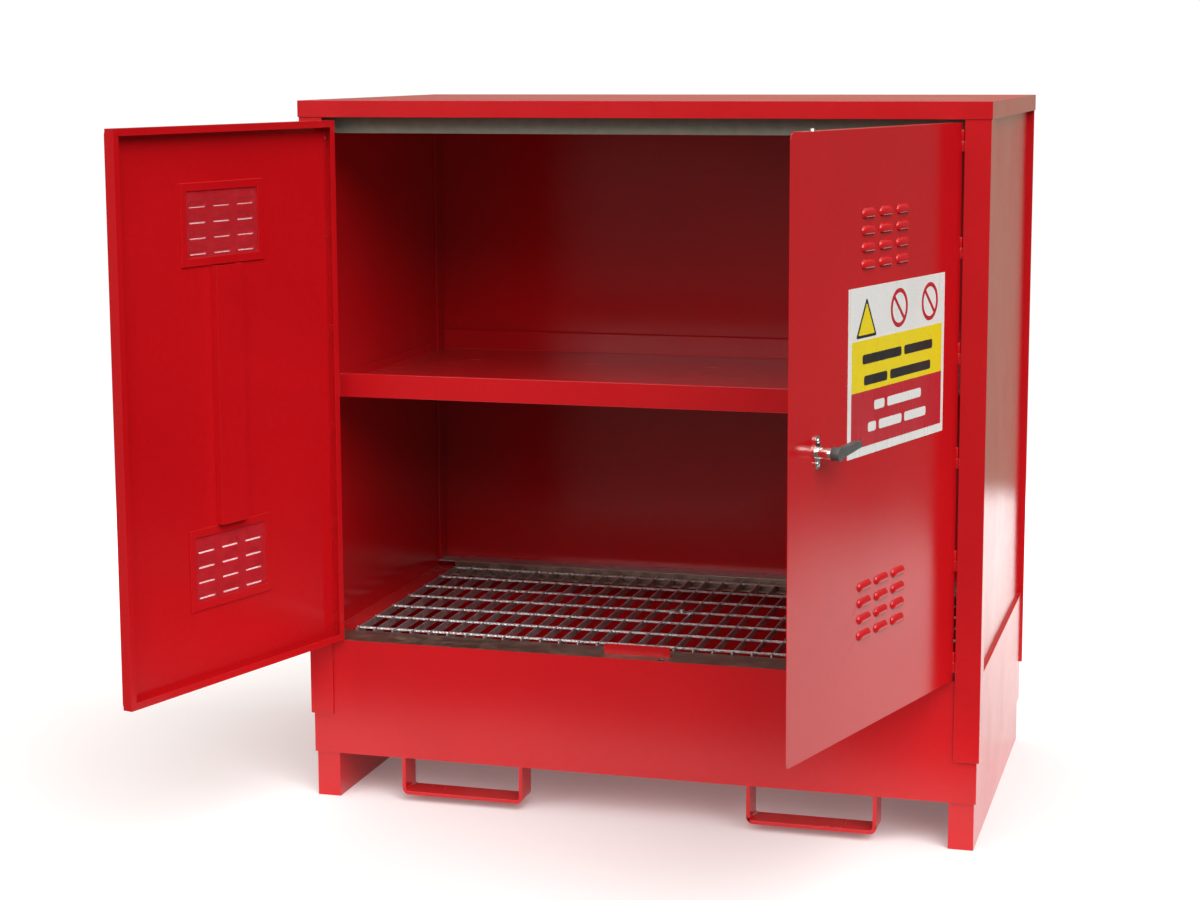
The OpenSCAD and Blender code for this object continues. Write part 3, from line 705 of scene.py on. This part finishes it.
def sun(name, azimuth, height, power, spread):
    """Soft parallel light. In degrees: azimuth (0 front, 90 right), height and spread."""
    light = bpy.data.lights.new(name, "SUN")
    light.energy, light.angle = power, math.radians(spread)
    obj = bpy.data.objects.new(name, light)
    a, h = math.radians(azimuth), math.radians(height)
    away = Vector((math.sin(a) * math.cos(h), -math.cos(a) * math.cos(h), math.sin(h)))
    obj.rotation_mode = "QUATERNION"
    obj.rotation_quaternion = (-away).to_track_quat("-Z", "Y")
    bpy.context.scene.collection.objects.link(obj)


# The floor is an ellipse that fades out at its rim and glows more toward the back. Its front rim
# is close to the cabinet, so that the sheets reflect the floor low down and the room higher up.
FLOOR_HALF = (3.3, 2.5)
FLOOR_FRONT, FLOOR_SHIFT = 0.80, -0.3
FLOOR_TURN = math.radians(10.0)
GLOW_FRONT, GLOW_BACK = 0.12, 0.60
FADE_FROM = 0.86             # share of the way to the rim where the floor starts to fade
floor_bm = bmesh.new()
bmesh.ops.create_circle(floor_bm, cap_ends=True, segments=128, radius=1.0)
bmesh.ops.scale(floor_bm, vec=(FLOOR_HALF[0], FLOOR_HALF[1], 1.0), verts=floor_bm.verts[:])
floor_mesh = bpy.data.meshes.new("floor")
floor_bm.to_mesh(floor_mesh)
floor_bm.free()
floor = bpy.data.objects.new("floor", floor_mesh)
floor.location = (MID.x + FLOOR_SHIFT, MID.y - FLOOR_FRONT + FLOOR_HALF[1], 0.0)
floor.rotation_euler = (0.0, 0.0, FLOOR_TURN)
bpy.context.scene.collection.objects.link(floor)
floor_shader = Shader("pale_floor")
reach = floor_shader.stretch(1 / FLOOR_HALF[0], 1 / FLOOR_HALF[1], 1.0)
rim = floor_shader.add("VectorMath", {0: reach}, operation="LENGTH").outputs["Value"]
depth = floor_shader.add("SeparateXYZ", {0: reach}).outputs[1]
pale = floor_shader.mix(floor_shader.noise(1.3), rgba(0.83, 0.825, 0.82), rgba(0.86, 0.855, 0.85))
glow = floor_shader.fit(depth, -0.4, 0.3, GLOW_FRONT, GLOW_BACK)
floor_shader.set(Base_Color=pale, Roughness=0.9, Emission_Color=rgba(1.0, 0.99, 0.98),
                 Emission_Strength=glow, Alpha=floor_shader.fit(rim, FADE_FROM, 1.0, 1.0, 0.0))
floor_mesh.materials.append(floor_shader.material)
floor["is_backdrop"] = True

# What gloss and shade see of the room: dim all round, warmer behind, bright overhead. The
# camera itself sees a white backdrop.
ROOM_BACK, ROOM, OVERHEAD = 0.24, 0.16, 0.80
BACKDROP = 1.05
world = bpy.data.worlds.new("studio")
world.use_nodes = True
world_tree = world.node_tree


def world_node(kind, inputs=None, **settings):
    """Adds a node to the world and returns its outputs."""
    return add_node(world_tree, kind, inputs, **settings).outputs


backdrop = world_node("Background", {"Color": rgba(1.0, 1.0, 1.0), "Strength": BACKDROP})
toward = world_node("SeparateXYZ", {0: world_node("TexCoord")["Generated"]})
behind = world_node("MapRange", {"Value": toward[1], "From Min": 0.80, "From Max": 0.97})[0]
above = world_node("MapRange", {"Value": toward[2], "From Min": 0.35, "From Max": 0.75})[0]
tones = {0: behind, 6: rgba(1.0, 0.97, 0.94), 7: rgba(1.0, 0.90, 0.70)}
tone = world_node("Mix", tones, data_type="RGBA")[2]
lit = world_node("Math", {0: behind, 1: ROOM_BACK, 2: ROOM}, operation="MULTIPLY_ADD")[0]
lit = world_node("Math", {0: above, 1: OVERHEAD, 2: lit}, operation="MULTIPLY_ADD")[0]
ambient = world_node("Background", {"Color": tone, "Strength": lit})
seen = world_node("LightPath")["Is Camera Ray"]
chosen = world_node("MixShader", {0: seen, 1: ambient[0], 2: backdrop[0]})[0]
plug(world_tree, world_tree.nodes["World Output"].inputs[0], chosen)
bpy.context.scene.world = world
bpy.context.scene.view_settings.view_transform = "Standard"

sun("key_right", 38.0, 40.0, 2.65, 50.0)
sun("key_left", -22.0, 28.0, 0.95, 50.0)


low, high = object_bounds()
